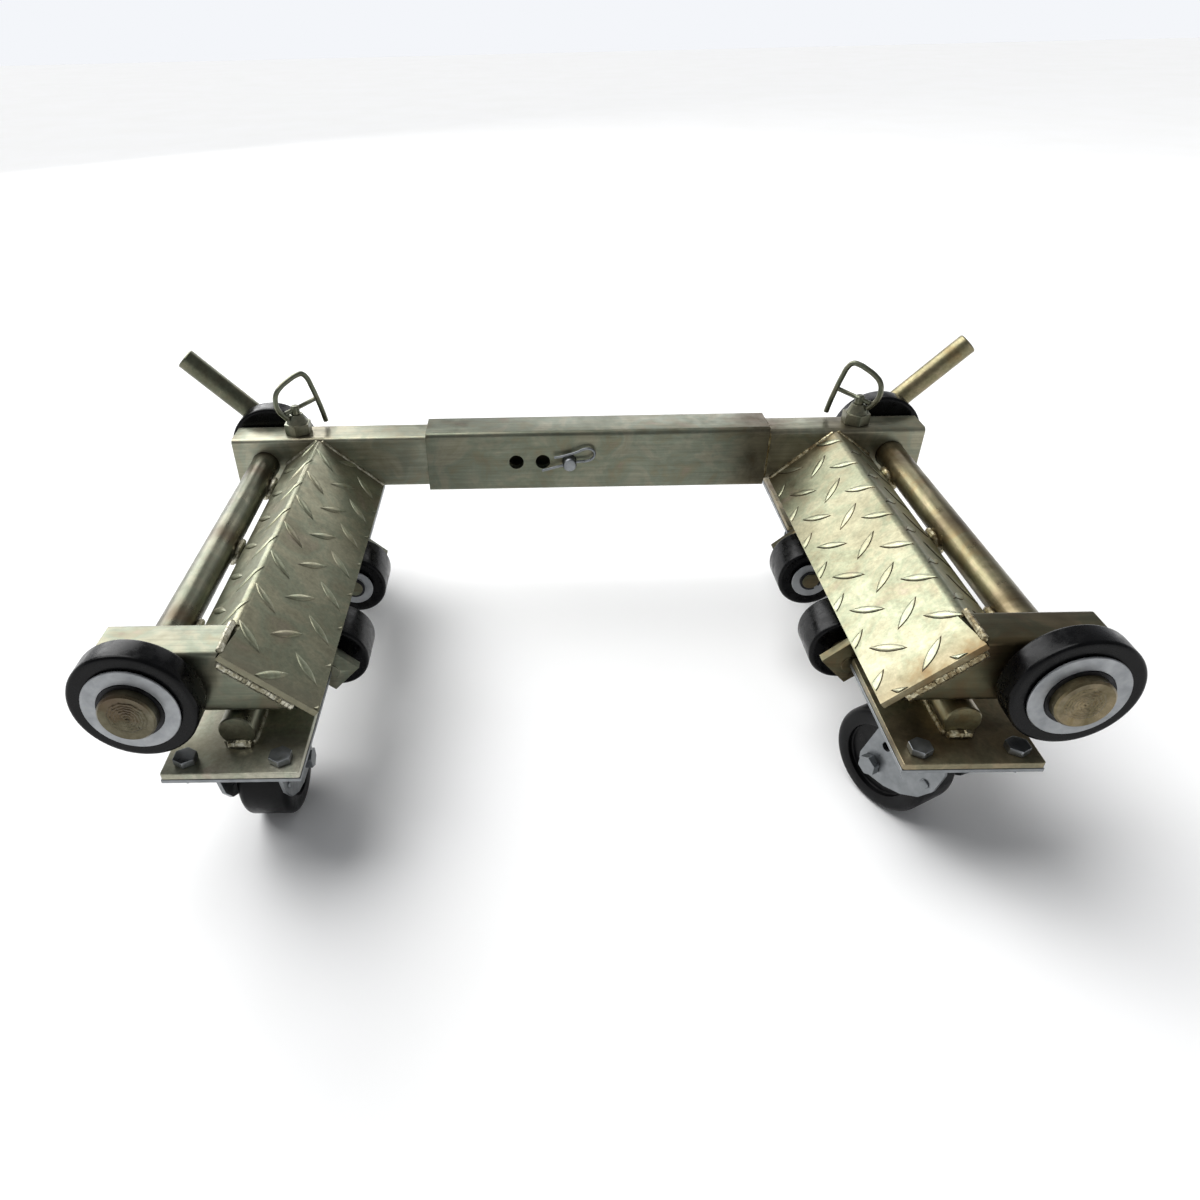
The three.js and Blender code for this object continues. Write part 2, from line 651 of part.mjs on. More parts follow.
for (const side of ['left', 'right']) {
  const mirrored = side === 'left';
  const tube = mirrored ? crossTube(-LEFT_TUBE_INNER_END, true) : crossTube(RIGHT_TUBE_INNER_END, false);
  const add = (name, shape, look) => assembly.add(makeMesh(`${side}_${name}`, shape, look, mirrored));
  add('cross_tube', tube, YELLOW_ZINC);
  add('ramp', shared.ramp, YELLOW_ZINC);
  add('end_block', shared.block, YELLOW_ZINC);
  add('front_roller_bracket', shared.frontBracket, YELLOW_ZINC);
  add('rear_roller_bracket', shared.rearBracket, YELLOW_ZINC);
  add('front_mid_roller', shared.frontMidRoller, BLACK_RUBBER);
  add('rear_mid_roller', shared.rearMidRoller, BLACK_RUBBER);
  add('plunger_body', shared.plungerBody, YELLOW_ZINC);
  add('plunger_pin', shared.plungerPin, YELLOW_ZINC);
  add('pull_ring', shared.pullRing, YELLOW_ZINC);
  add('pivot_rod', shared.pivotRod, YELLOW_ZINC);
  add('lever_stub', shared.lever, YELLOW_ZINC);
  add('swing_frame', shared.swingFrame, YELLOW_ZINC);
  add('front_roller', shared.frontRoller, BLACK_RUBBER);
  add('rear_roller', shared.rearRoller, BLACK_RUBBER);
  add('front_washer', shared.frontWasher, WASHER_ZINC);
  add('rear_washer', shared.rearWasher, WASHER_ZINC);
  add('front_circlip', shared.frontCirclip, BLACK_SPRING_STEEL);
  add('rear_circlip', shared.rearCirclip, BLACK_SPRING_STEEL);
  for (const end of ['front', 'rear']) {
    const x = mirrored ? -CARRIER_X : CARRIER_X;
    const y = end === 'front' ? CARRIER_FRONT_Y : CARRIER_REAR_Y;
    const place = new THREE.Group();
    place.position.set(x, y, CARRIER_TOP - CARRIER_THICKNESS);
    place.add(makeMesh(`${side}_${end}_caster_plate`, shared.casterPlate, BRIGHT_ZINC));
    const swivel = new THREE.Group();
    swivel.rotation.z = THREE.MathUtils.degToRad(CASTER_TURN[`${side}_${end}`]);
    swivel.add(makeMesh(`${side}_${end}_caster_fork`, shared.casterFork, BRIGHT_ZINC));
    swivel.add(makeMesh(`${side}_${end}_caster_axle`, shared.casterAxle, BRIGHT_ZINC));
    swivel.add(makeMesh(`${side}_${end}_caster_wheel`, shared.casterWheel, BLACK_RUBBER));
    place.add(swivel);
    assembly.add(place);
  }
}

const part = new THREE.Group();
part.add(assembly);
export default part;
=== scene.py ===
"""Lever-operated wheel dolly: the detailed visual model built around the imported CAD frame."""

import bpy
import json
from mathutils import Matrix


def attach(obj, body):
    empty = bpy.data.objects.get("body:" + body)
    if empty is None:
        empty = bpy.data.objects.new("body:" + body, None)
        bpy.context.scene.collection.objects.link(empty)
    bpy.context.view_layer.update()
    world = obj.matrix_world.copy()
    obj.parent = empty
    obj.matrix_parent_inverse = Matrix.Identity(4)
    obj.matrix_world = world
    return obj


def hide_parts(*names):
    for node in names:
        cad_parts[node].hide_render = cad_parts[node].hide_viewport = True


bl_info = {
    "name": "Wheel dolly builder",
    "version": (1, 0, 0),
    "blender": (4, 5, 0),
    "location": "View3D > Sidebar > Dolly",
    "description": "Builds the plated steel frame, rollers, casters and welds of a telescoping wheel dolly",
    "category": "Object",
}

import json
import math
import random

import bmesh
import bpy
from mathutils import Matrix, Vector

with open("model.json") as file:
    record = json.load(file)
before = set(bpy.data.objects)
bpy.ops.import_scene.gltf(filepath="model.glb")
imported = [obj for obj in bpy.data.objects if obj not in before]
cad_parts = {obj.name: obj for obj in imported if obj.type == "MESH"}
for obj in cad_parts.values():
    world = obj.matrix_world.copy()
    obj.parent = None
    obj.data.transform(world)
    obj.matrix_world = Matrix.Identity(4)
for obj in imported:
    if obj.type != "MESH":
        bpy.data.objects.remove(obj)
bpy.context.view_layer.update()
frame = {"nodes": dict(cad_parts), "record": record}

# Millimetres, measured from the top front edge of the crossbar, as the steel is laid out in the shop.
SHOP_TO_FRAME = Matrix.Scale(0.001, 4) @ Matrix.Translation((0.0, 168.5, 217.0))
SIDES = {"left": -1, "right": 1}
ENDS = ("front", "rear")
PIVOT_X, PIVOT_Z = 354.0, -30.0
RIDGE = Vector((288.5, 0.0, 0.0))
INNER_EDGE = Vector((222.0, 0.0, -58.0))
OUTER_EDGE = Vector((331.0, 0.0, -31.0))
BLOCK_FRONT, BLOCK_BACK = -393.4, -353.4
RAMP_FRONT = -397.0
SMALL_X, SMALL_Z = 238.0, -101.0
BIG_RADIUS, BIG_WIDTH = 49.0, 24.0
SMALL_RADIUS, SMALL_WIDTH = 32.0, 45.0
BRACKET_Y = (-292.0, -92.0)
LEVER_Y, LEVER_LENGTH, LEVER_RADIUS = 84.5, 136.0, 12.0
PULL_WIRE_RADIUS, CLIP_WIRE_RADIUS = 2.9, 1.5
PLUNGER_X, PLUNGER_Y = 315.0, 20.5
PULL_TURN = 0.61
PIN_X, PIN_Z = -8.0, -30.0
CLIP_TILT = 0.25
CASTER_X, CASTER_TOP = 291.0, -96.0
CASTER_Y = {"front": -364.5, "rear": 11.5}
CASTER_TRAIL, CASTER_AXLE = 29.0, -71.0
CASTER_TURN = {"right_front": 118.0, "right_rear": 70.0, "left_front": 90.0, "left_rear": 110.0}
LUG_Y = (-42.0, -178.0, -314.0)
LOWER_BAR_X, LOWER_BAR_Z = 290.0, -75.5


# ---------------------------------------------------------------- materials

def hex_colour(code):
    """An sRGB hex code as linear red, green, blue and alpha."""
    parts = [int(code[i:i + 2], 16) / 255 for i in (1, 3, 5)]
    linear = [c / 12.92 if c <= 0.04045 else ((c + 0.055) / 1.055) ** 2.4 for c in parts]
    return (*linear, 1.0)


def add(tree, kind, inputs=None, **settings):
    """Adds a node with its settings; an input is either a value or a socket to link from."""
    made = tree.nodes.new(kind)
    for key, value in settings.items():
        setattr(made, key, value)
    for key, value in (inputs or {}).items():
        if isinstance(value, bpy.types.NodeSocket):
            tree.links.new(value, made.inputs[key])
        else:
            made.inputs[key].default_value = value
    return made


def colour_band(tree, factor, stops):
    """A colour ramp with (position, colour) stops; a colour is a hex code or linear RGBA."""
    band = add(tree, "ShaderNodeValToRGB", {"Fac": factor})
    elements = band.color_ramp.elements
    while len(elements) < len(stops):
        elements.new(0.5)
    for element, (position, colour) in zip(elements, stops):
        element.position = position
        element.color = hex_colour(colour) if isinstance(colour, str) else tuple(colour)
    return band.outputs["Color"]


def mixed(tree, factor, first, second, blend="MIX"):
    """Two colours mixed; a colour is a socket or linear RGBA."""
    return add(tree, "ShaderNodeMix", {0: factor, 6: first, 7: second}, data_type="RGBA",
               blend_type=blend).outputs[2]


def sums(tree, operation, *values):
    """A Math node's result."""
    return add(tree, "ShaderNodeMath", dict(enumerate(values)), operation=operation).outputs[0]


def new_material(name, metallic, roughness):
    """An empty material with its shader; returns the material, its tree and the shader."""
    material = bpy.data.materials.new(name)
    material.use_nodes = True
    tree = material.node_tree
    shader = tree.nodes["Principled BSDF"]
    shader.inputs["Metallic"].default_value = metallic
    shader.inputs["Roughness"].default_value = roughness
    return material, tree, shader


def noise(tree, place, scale, detail=4.0, roughness=0.6, distortion=0.0):
    """The grey value of a noise whose features are about 1 / scale metres across."""
    return add(tree, "ShaderNodeTexNoise",
               {"Vector": place, "Scale": scale, "Detail": detail, "Roughness": roughness,
                "Distortion": distortion}).outputs[0]


def stretched(tree, place, scale):
    """Coordinates stretched along the axes, for drawn or rolled grain."""
    return add(tree, "ShaderNodeMapping", {"Vector": place, "Scale": scale}).outputs[0]


def bumped(tree, shader, height, strength, distance):
    """Puts a height pattern on the shader; distance is in mm."""
    bump = add(tree, "ShaderNodeBump", {"Height": height, "Strength": strength,
                                        "Distance": distance / 1000})
    tree.links.new(bump.outputs["Normal"], shader.inputs["Normal"])


def near_planes(tree, place, axis, places, width):
    """1 at each of the places along one axis, falling to 0 at the width from it; all in mm."""
    along = add(tree, "ShaderNodeSeparateXYZ", {0: place}).outputs[axis]
    total = None
    for where in places:
        middle = (Vector([where] * 3) + Vector((0.0, 168.5, 217.0)))[axis] / 1000
        away = sums(tree, "ABSOLUTE", sums(tree, "SUBTRACT", along, middle))
        close = add(tree, "ShaderNodeMapRange",
                    {"Value": away, "From Min": 0.0, "From Max": width / 1000, "To Min": 1.0,
                     "To Max": 0.0}, interpolation_type="SMOOTHSTEP").outputs[0]
        total = close if total is None else sums(tree, "MAXIMUM", total, close)
    return total


def yellow_zinc(name, tints, roughness=0.34, grain=(1.0, 1.0, 1.0), stains=(), stain_axis=1,
                stain_width=34.0, stain_colour="#4B3A26"):
    """Electroplated steel with a yellow chromate film.

    The thin film gives soft clouds of gold, green and pink some 15 to 40 mm across, over drawn or
    rolled steel, and it browns beside each weld.
    """
    material, tree, shader = new_material(name, 0.9, roughness)
    place = add(tree, "ShaderNodeTexCoord").outputs["Object"]
    cloud = noise(tree, place, 24.0, 5.0, 0.62, 0.5)
    gold, cream, green, pink = tints
    colour = colour_band(tree, cloud, [(0.28, gold), (0.43, cream), (0.52, green), (0.62, gold),
                                       (0.74, pink)])
    fleck = noise(tree, stretched(tree, place, grain), 260.0, 5.0, 0.7)
    colour = mixed(tree, 0.6, colour, colour_band(tree, fleck, [(0.3, "#B4B4B4"), (0.68, "#FFFFFF")]),
                   "MULTIPLY")
    handled = noise(tree, place, 7.0, 3.0, 0.5)
    colour = mixed(tree, 0.5, colour,
                   colour_band(tree, handled, [(0.36, "#C4BFB0"), (0.6, "#FFFFFF")]), "MULTIPLY")
    if stains:
        heat = near_planes(tree, place, stain_axis, stains, stain_width)
        ragged = add(tree, "ShaderNodeMapRange", {"Value": cloud, "From Min": 0.35, "From Max": 0.62,
                                                  "To Min": 0.35, "To Max": 1.0}).outputs[0]
        colour = mixed(tree, sums(tree, "MULTIPLY", sums(tree, "MULTIPLY", heat, ragged), 0.8), colour,
                       hex_colour(stain_colour))
    tree.links.new(colour, shader.inputs["Base Color"])
    dull = add(tree, "ShaderNodeMapRange",
               {"Value": noise(tree, place, 60.0, 4.0), "From Min": 0.3, "From Max": 0.7,
                "To Min": roughness - 0.05, "To Max": roughness + 0.12}).outputs[0]
    tree.links.new(dull, shader.inputs["Roughness"])
    drawn = noise(tree, stretched(tree, place, grain), 700.0, 3.0, 0.7)
    bumped(tree, shader, sums(tree, "ADD", drawn, sums(tree, "MULTIPLY", noise(tree, place, 80.0), 1.5)),
           0.22, 0.12)
    return material


def bright_zinc(name, colour, roughness):
    """Pressed steel in clear zinc plate: cool grey, lightly clouded, with fine pressing marks."""
    material, tree, shader = new_material(name, 0.95, roughness)
    place = add(tree, "ShaderNodeTexCoord").outputs["Object"]
    cloud = noise(tree, place, 70.0, 5.0, 0.6)
    tone = mixed(tree, 0.55, hex_colour(colour),
                 colour_band(tree, cloud, [(0.32, "#B4B8BA"), (0.66, "#FFFFFF")]), "MULTIPLY")
    tree.links.new(tone, shader.inputs["Base Color"])
    dull = add(tree, "ShaderNodeMapRange",
               {"Value": noise(tree, place, 160.0), "From Min": 0.3, "From Max": 0.7,
                "To Min": roughness - 0.06, "To Max": roughness + 0.12}).outputs[0]
    tree.links.new(dull, shader.inputs["Roughness"])
    bumped(tree, shader, noise(tree, place, 900.0, 3.0, 0.7), 0.15, 0.08)
    return material


def polyurethane(name, colour, roughness=0.42):
    """Cast black polyurethane: a soft sheen, faint scuffs and a thin grey dust film."""
    material, tree, shader = new_material(name, 0.0, roughness)
    shader.inputs["Specular IOR Level"].default_value = 0.15
    place = add(tree, "ShaderNodeTexCoord").outputs["Object"]
    dust = noise(tree, place, 45.0, 6.0, 0.7)
    tone = mixed(tree, colour_band(tree, dust, [(0.5, "#000000"), (0.8, "#FFFFFF")]), hex_colour(colour),
                 hex_colour("#101113"))
    tree.links.new(tone, shader.inputs["Base Color"])
    dull = add(tree, "ShaderNodeMapRange",
               {"Value": noise(tree, place, 120.0), "From Min": 0.3, "From Max": 0.7,
                "To Min": roughness - 0.1, "To Max": roughness + 0.14}).outputs[0]
    tree.links.new(dull, shader.inputs["Roughness"])
    bumped(tree, shader, noise(tree, place, 420.0, 4.0, 0.6), 0.2, 0.1)
    return material


def weld_metal(name, tones):
    """Plated weld beads: lumpy, in small patches that run from dark to pale."""
    material, tree, shader = new_material(name, 0.88, 0.36)
    place = add(tree, "ShaderNodeTexCoord").outputs["Object"]
    lump = noise(tree, place, 190.0, 5.0, 0.6)
    colour = colour_band(tree, lump, list(zip((0.34, 0.48, 0.62), tones)))
    tree.links.new(colour, shader.inputs["Base Color"])
    bumped(tree, shader, noise(tree, place, 520.0, 5.0, 0.65), 0.5, 0.35)
    return material


def black_oxide(name):
    """Blued spring steel: near black with a low oily sheen."""
    material, tree, shader = new_material(name, 0.7, 0.4)
    place = add(tree, "ShaderNodeTexCoord").outputs["Object"]
    tone = colour_band(tree, noise(tree, place, 150.0), [(0.35, "#141415"), (0.7, "#2E2E31")])
    tree.links.new(tone, shader.inputs["Base Color"])
    return material


def studio_floor(name):
    """Matt pale paper sweep."""
    material, tree, shader = new_material(name, 0.0, 0.9)
    place = add(tree, "ShaderNodeTexCoord").outputs["Object"]
    tone = colour_band(tree, noise(tree, place, 3.0), [(0.3, "#FAFAF9"), (0.7, "#FDFDFD")])
    tree.links.new(tone, shader.inputs["Base Color"])
    return material


# Tints of the chromate film, in the order gold, cream, green and pink.
OLIVE = ("#7E7C68", "#8C8B79", "#7C8272", "#8A7C70")
GOLDEN = ("#8B7D5C", "#A3977A", "#8F8A6C", "#9A8468")
GREY_ROD = ("#6E6D5C", "#7D7C6A", "#6E7261", "#776D61")
PALE = ("#A3A085", "#B3B197", "#A3A88F", "#B0A594")
GREY_OLIVE = ("#B9B7A6", "#C8C6B5", "#B7BBA9", "#C4B7AA")
# Painted shade: the dark brown rim at the foot of each right tread bar, standing in for the shade round the
# bar on the plate.
PAINTED_SHADE_OUTLINE = ("#4E4433", "#5C513C", "#4A4534", "#574836")
BROWN = ("#91846A", "#A3967A", "#918C72", "#9A8468")
BAR = ("#A09D88", "#B0AD98", "#9EA290", "#AA9C8D")
DIM_PALE = ("#89866F", "#98967E", "#888C76", "#938A79")
WARM_PALE = ("#98947A", "#A7A48A", "#979B82", "#A39686")
UMBER = ("#655B43", "#736850", "#62604A", "#6B5942")
# Painted highlight: the lighter grey rim round each left tread bar, standing in for the bright outlines where
# light catches the bars.
PAINTED_HIGHLIGHT_OUTLINE = ("#86836F", "#94917C", "#838672", "#8C8272")
WELD_Y = (*LUG_Y, -440.0, -350.0, 0.0)


def make_finishes():
    """Every finish of the dolly, by the name that the pieces use."""
    drawn = (0.05, 1, 1)
    ramp = {"stains": (RAMP_FRONT, 0.0), "stain_width": 40.0, "stain_colour": "#6E5532"}
    grey_ramp = {"stains": (RAMP_FRONT, 0.0), "stain_width": 30.0, "stain_colour": "#7C7563"}
    ends = {"stains": (-400.0, 47.0), "stain_width": 40.0}
    grey_ends = {"stains": (-400.0, 47.0), "stain_width": 24.0, "stain_colour": "#7C7563"}
    return {
        "bar": yellow_zinc("Yellow zinc on drawn tube", BAR, grain=drawn, stain_axis=0,
                           stains=(-300.0, 214.0, 300.0), stain_width=45.0),
        "sleeve": yellow_zinc("Yellow zinc on the sleeve", OLIVE, grain=drawn, stain_axis=0,
                              stains=(205.0, 216.0), stain_width=40.0),
        "left_block": yellow_zinc("Yellow zinc on the left end block", OLIVE, grain=drawn),
        "right_block": yellow_zinc("Browned yellow zinc on the right end block", UMBER, grain=drawn),
        "left_ramp": yellow_zinc("Yellow zinc on the left tread plate", DIM_PALE, 0.36, **grey_ramp),
        "right_ramp": yellow_zinc("Yellow zinc on the right tread plate", WARM_PALE, 0.38, **ramp),
        "left_tread": yellow_zinc("Yellow zinc on the left raised tread", PALE, 0.32),
        "right_tread": yellow_zinc("Yellow zinc on the right raised tread", PALE, 0.3),
        # Painted highlight: the lighter rim round each left tread bar.
        "left_tread_rim": yellow_zinc("Painted highlight round each left tread bar", PAINTED_HIGHLIGHT_OUTLINE, 0.4),
        # Painted shade: the dark rim round each right tread bar.
        "right_tread_rim": yellow_zinc("Painted shade round each right tread bar", PAINTED_SHADE_OUTLINE, 0.4),
        "left_rod": yellow_zinc("Yellow zinc on the left turned bars", GREY_ROD, 0.3, (1, 0.05, 1),
                                stains=WELD_Y, stain_width=26.0),
        "right_rod": yellow_zinc("Yellow zinc on the right turned bars", GOLDEN, 0.3, (1, 0.05, 1),
                                 stains=WELD_Y, stain_width=34.0),
        "left_carrier": yellow_zinc("Yellow zinc on the left carrier plates", GREY_OLIVE, 0.38, **grey_ends),
        "right_carrier": yellow_zinc("Yellow zinc on the right carrier plates", BROWN, 0.38, **ends),
        "hardware": yellow_zinc("Yellow zinc on small turned parts", OLIVE, 0.32),
        "caster": bright_zinc("Clear zinc on pressed steel", "#8A8D8F", 0.32),
        "washer": bright_zinc("Satin zinc washer", "#A4A6A8", 0.46),
        "roller": polyurethane("Black polyurethane rollers", "#040405", 0.26),
        "wheel": polyurethane("Black polyurethane caster tread", "#040405", 0.34),
        "left_weld": weld_metal("Pale plated weld bead", ("#6E6854", "#98947F", "#C3C0AF")),
        "right_weld": weld_metal("Golden plated weld bead", ("#5A4B34", "#8C8062", "#B9B296")),
        "clip": black_oxide("Black oxide spring steel"),
        "floor": studio_floor("Matt paper sweep"),
    }


FINISH = {}


# ---------------------------------------------------------------- mesh tools

def show(bm, name, finish, body, cad=(), edge=0.0, sharp=34.0, to_frame=True, side=1, second=None):
    """Turns a bmesh into a finished piece that rides on a CAD body and stands for its CAD nodes."""
    bmesh.ops.remove_doubles(bm, verts=bm.verts, dist=0.002 if to_frame else 2e-6)
    if to_frame:
        mirror = Matrix.Scale(-1.0, 4, (1.0, 0.0, 0.0)) if side < 0 else Matrix.Identity(4)
        bmesh.ops.transform(bm, matrix=SHOP_TO_FRAME @ mirror, verts=bm.verts)
    bmesh.ops.recalc_face_normals(bm, faces=bm.faces)
    mesh = bpy.data.meshes.new(name)
    bm.to_mesh(mesh)
    bm.free()
    mesh.polygons.foreach_set("use_smooth", [True] * len(mesh.polygons))
    mesh.set_sharp_from_angle(angle=math.radians(sharp))
    piece = bpy.data.objects.new(name, mesh)
    bpy.context.scene.collection.objects.link(piece)
    mesh.materials.append(FINISH[finish])
    if second:
        mesh.materials.append(FINISH[second])
    if edge:
        rounding = piece.modifiers.new("Rounded edges", "BEVEL")
        rounding.width = edge / 1000
        rounding.segments = 2
        rounding.limit_method = "ANGLE"
        rounding.angle_limit = math.radians(40.0)
        rounding.harden_normals = True
    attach(piece, body)
    if cad:
        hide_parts(*cad)
    return piece


def cad_copy(node):
    """A merged copy of a CAD node's mesh, in metres, with its flat faces whole."""
    bm = bmesh.new()
    bm.from_mesh(frame["nodes"][node].data)
    bmesh.ops.remove_doubles(bm, verts=bm.verts, dist=2e-6)
    bmesh.ops.dissolve_limit(bm, angle_limit=math.radians(0.6), verts=bm.verts, edges=bm.edges)
    return bm


def absorb(bm, other):
    """Moves everything in one bmesh into another."""
    carrier = bpy.data.meshes.new("carrier")
    other.to_mesh(carrier)
    other.free()
    bm.from_mesh(carrier)
    bpy.data.meshes.remove(carrier)
    return bm


def lathe(profile, centre, steps=96, angle=2 * math.pi):
    """A body turned about a line through the centre; the profile holds (radius, distance) pairs."""
    bm = bmesh.new()
    chain = [bm.verts.new((radius, along, 0.0)) for radius, along in profile]
    edges = [bm.edges.new(pair) for pair in zip(chain, chain[1:])]
    full = angle > 6.28
    bmesh.ops.spin(bm, geom=chain + edges, cent=(0, 0, 0), axis=(0, 1, 0), angle=angle, steps=steps,
                   use_merge=full)
    bmesh.ops.remove_doubles(bm, verts=bm.verts, dist=0.001)
    bmesh.ops.translate(bm, vec=centre, verts=bm.verts)
    return bm


def bar_between(start, end, radius, steps=48, chamfer=1.0):
    """A round bar between two points with chamfered ends."""
    start, end = Vector(start), Vector(end)
    length = (end - start).length
    bm = lathe([(0, 0), (radius - chamfer, 0), (radius, chamfer), (radius, length - chamfer),
                (radius - chamfer, length), (0, length)], (0, 0, 0), steps=steps)
    turn = Vector((0, 1, 0)).rotation_difference(end - start).to_matrix()
    bmesh.ops.rotate(bm, matrix=turn, verts=bm.verts)
    bmesh.ops.translate(bm, vec=start, verts=bm.verts)
    return bm


def sweep(points, radius, radii=None, smooth=True, sides=4):
    """A round wire or bead through the points."""
    curve = bpy.data.curves.new("path", "CURVE")
    curve.dimensions = "3D"
    curve.bevel_depth = radius
    curve.bevel_resolution = sides
    curve.use_fill_caps = True
    spline = curve.splines.new("BEZIER" if smooth else "POLY")
    if smooth:
        curve.resolution_u = 8
        spline.bezier_points.add(len(points) - 1)
        for knot, point in zip(spline.bezier_points, points):
            knot.co = point
            knot.handle_left_type = knot.handle_right_type = "AUTO"
    else:
        spline.points.add(len(points) - 1)
        for knot, point, share in zip(spline.points, points, radii or [1.0] * len(points)):
            knot.co = (*point, 1.0)
            knot.radius = share
    holder = bpy.data.objects.new("path", curve)
    mesh = bpy.data.meshes.new_from_object(holder)
    bm = bmesh.new()
    bm.from_mesh(mesh)
    bpy.data.objects.remove(holder)
    bpy.data.meshes.remove(mesh)
    bpy.data.curves.remove(curve)
    return bm


def bead(points, width, seed, pitch=3.4):
    """A weld bead: a rippled run of overlapping puddles along a polyline."""
    rng = random.Random(seed)
    corners = [Vector(p) for p in points]
    path, shares, run = [], [], 0.0
    for a, b in zip(corners, corners[1:]):
        length = (b - a).length
        count = max(2, int(length / (pitch / 3)))
        for i in range(count + (b is corners[-1])):
            puddle = (run + length * i / count) / pitch
            shares.append(0.9 + 0.14 * (1 - puddle % 1.0) + rng.uniform(-0.03, 0.03))
            wander = Vector([rng.uniform(-0.03, 0.03) * width for _ in range(3)])
            path.append(a.lerp(b, i / count) + wander)
        run += length
    shares[0] = shares[-1] = 0.5
    return sweep(path, width / 2, shares, smooth=False, sides=2)


def ring_points(centre, radius, normal, start=0.0, stop=360.0, count=28):
    """Points round a circle, for a bead that runs round a bar."""
    normal = Vector(normal).normalized()
    across = normal.orthogonal().normalized()
    other = normal.cross(across)
    points = []
    for i in range(count + 1):
        angle = math.radians(start + (stop - start) * i / count)
        points.append(Vector(centre) + radius * (across * math.cos(angle) + other * math.sin(angle)))
    return points


# ---------------------------------------------------------------- sizes and colours

class DollySizes(bpy.types.PropertyGroup):
    """Sizes of the details that the frame itself does not fix."""
    tread_length: bpy.props.FloatProperty(
        name="Tread bar length", description="Length of one raised bar of the tread plate",
        default=0.036, unit="LENGTH")
    tread_width: bpy.props.FloatProperty(
        name="Tread bar width", description="Width of one raised bar at its middle",
        default=0.0085, unit="LENGTH")
    tread_height: bpy.props.FloatProperty(
        name="Tread bar height", description="How far a bar stands above the plate",
        default=0.0013, unit="LENGTH")
    weld_width: bpy.props.FloatProperty(
        name="Weld width", description="Width of an ordinary weld bead", default=0.0065,
        unit="LENGTH")
    edge_radius: bpy.props.FloatProperty(
        name="Edge rounding", description="Rounding of sawn and pressed edges", default=0.0008,
        unit="LENGTH")


class DollyColours(bpy.types.PropertyGroup):
    """Colour of the light round the stage; the finishes hold their own colours."""
    sky: bpy.props.FloatVectorProperty(
        name="Surround", description="Colour of the light from all round", subtype="COLOR", size=4,
        default=hex_colour("#F4F6FA"))


def millimetres(name):
    """One of the adjustable sizes, in mm."""
    return getattr(bpy.context.scene.dolly_sizes, name) * 1000


# ---------------------------------------------------------------- crossbar and arms

RIDGE_TANGENT = 6.0
RIDGE_HALF_TURN = 0.674
RIDGE_RADIUS = RIDGE_TANGENT / math.tan(RIDGE_HALF_TURN)
DOWN_INNER = (INNER_EDGE - RIDGE).normalized()
DOWN_OUTER = (OUTER_EDGE - RIDGE).normalized()
OUT_INNER = Vector((-0.6573, 0.0, 0.7536))
OUT_OUTER = Vector((0.5893, 0.0, 0.8079))
INNER_LENGTH = (INNER_EDGE - RIDGE).length
OUTER_LENGTH = (OUTER_EDGE - RIDGE).length
BEND_CENTRE = RIDGE + RIDGE_TANGENT * DOWN_INNER - RIDGE_RADIUS * OUT_INNER

# Rows of tread bars: lean in degrees, first distance from the ridge, first depth, pitch along.
TREAD = {
    "left": [(-43.0, 15.0, -33.4, 53.0, 54.2), (41.0, 43.0, -60.5, 53.0, 54.2)],
    "right": [(41.0, 13.7, -14.5, 49.5, 55.2), (-43.0, 36.5, -43.3, 50.0, 55.6)],
}


def cut_steel(node, finish, edge=None, **more):
    """A piece made from its CAD node, with its edges rounded."""
    body = next(b for b, nodes in frame["record"]["behaviour"]["bodies"].items() if node in nodes)
    width = millimetres("edge_radius") if edge is None else edge
    return show(cad_copy(node), node + "_steel", finish, body, (node,), width, to_frame=False, **more)


def on_plate(point):
    """Wraps (distance from the ridge, depth, height) round the bent plate; mm in the shop frame."""
    along, depth, height = point
    if along >= RIDGE_TANGENT:
        place = RIDGE + along * DOWN_INNER + height * OUT_INNER
    elif along <= -RIDGE_TANGENT:
        place = RIDGE - along * DOWN_OUTER + height * OUT_OUTER
    else:
        share = (RIDGE_TANGENT - along) / (2 * RIDGE_TANGENT)
        outward = OUT_INNER.slerp(OUT_OUTER, share)
        place = BEND_CENTRE + (RIDGE_RADIUS + height) * outward
    return Vector((place.x, depth, place.z))


BAR_STEPS = ((1.0, 0.0), (0.87, 0.55), (0.62, 0.85), (0.3, 0.97), (0.0, 1.0))


